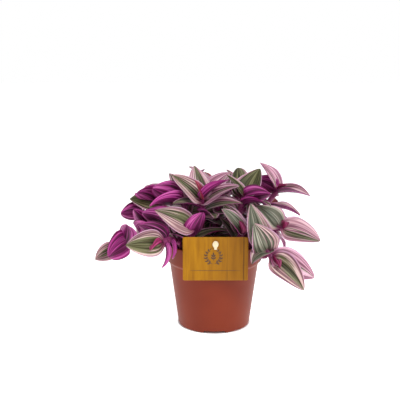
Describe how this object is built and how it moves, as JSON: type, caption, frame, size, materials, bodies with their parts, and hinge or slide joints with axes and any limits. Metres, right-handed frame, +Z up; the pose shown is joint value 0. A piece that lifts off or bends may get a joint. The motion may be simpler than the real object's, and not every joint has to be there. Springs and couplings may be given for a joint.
{
  "type": "potted plant",
  "caption": "Bushy tradescantia with pink, green and purple striped leaves on fleshy stems, in a round plastic nursery pot with a plain wood-look label card on a peg.",
  "frame": {"origin": "on the ground, under the middle of the whole plant's box; the pot's axis stands 9 mm to +X and 1 mm to -Y of it", "axes": "+Z up, -Y towards the front with the label card, +X to the right seen from the front"},
  "size_m": [0.268, 0.1923, 0.203],
  "materials": {
    "leaf": "satin",
    "pot_plastic": "satin",
    "potting_soil": "matte",
    "card": "satin",
    "peg_plastic": "satin"
  },
  "bodies": {
    "root": {"label_card": "card", "label_peg": "peg_plastic", "pot": "pot_plastic", "shoot_back_far_left": "leaf", "shoot_back_far_right": "leaf", "shoot_back_high": "leaf", "shoot_back_high_left": "leaf", "shoot_back_high_right": "leaf", "shoot_back_left": "leaf", "shoot_back_low": "leaf", "shoot_back_middle": "leaf", "shoot_back_right": "leaf", "shoot_centre_left": "leaf", "shoot_centre_right": "leaf", "shoot_front_left": "leaf", "shoot_front_right": "leaf", "shoot_inner_left": "leaf", "shoot_left_far": "leaf", "shoot_left_front": "leaf", "shoot_left_hanging": "leaf", "shoot_left_low": "leaf", "shoot_left_middle": "leaf", "shoot_left_top": "leaf", "shoot_right_back": "leaf", "shoot_right_drooping": "leaf", "shoot_right_front": "leaf", "shoot_right_middle": "leaf", "shoot_side_left": "leaf", "shoot_side_right": "leaf", "soil": "potting_soil"}
  },
  "joints": []
}
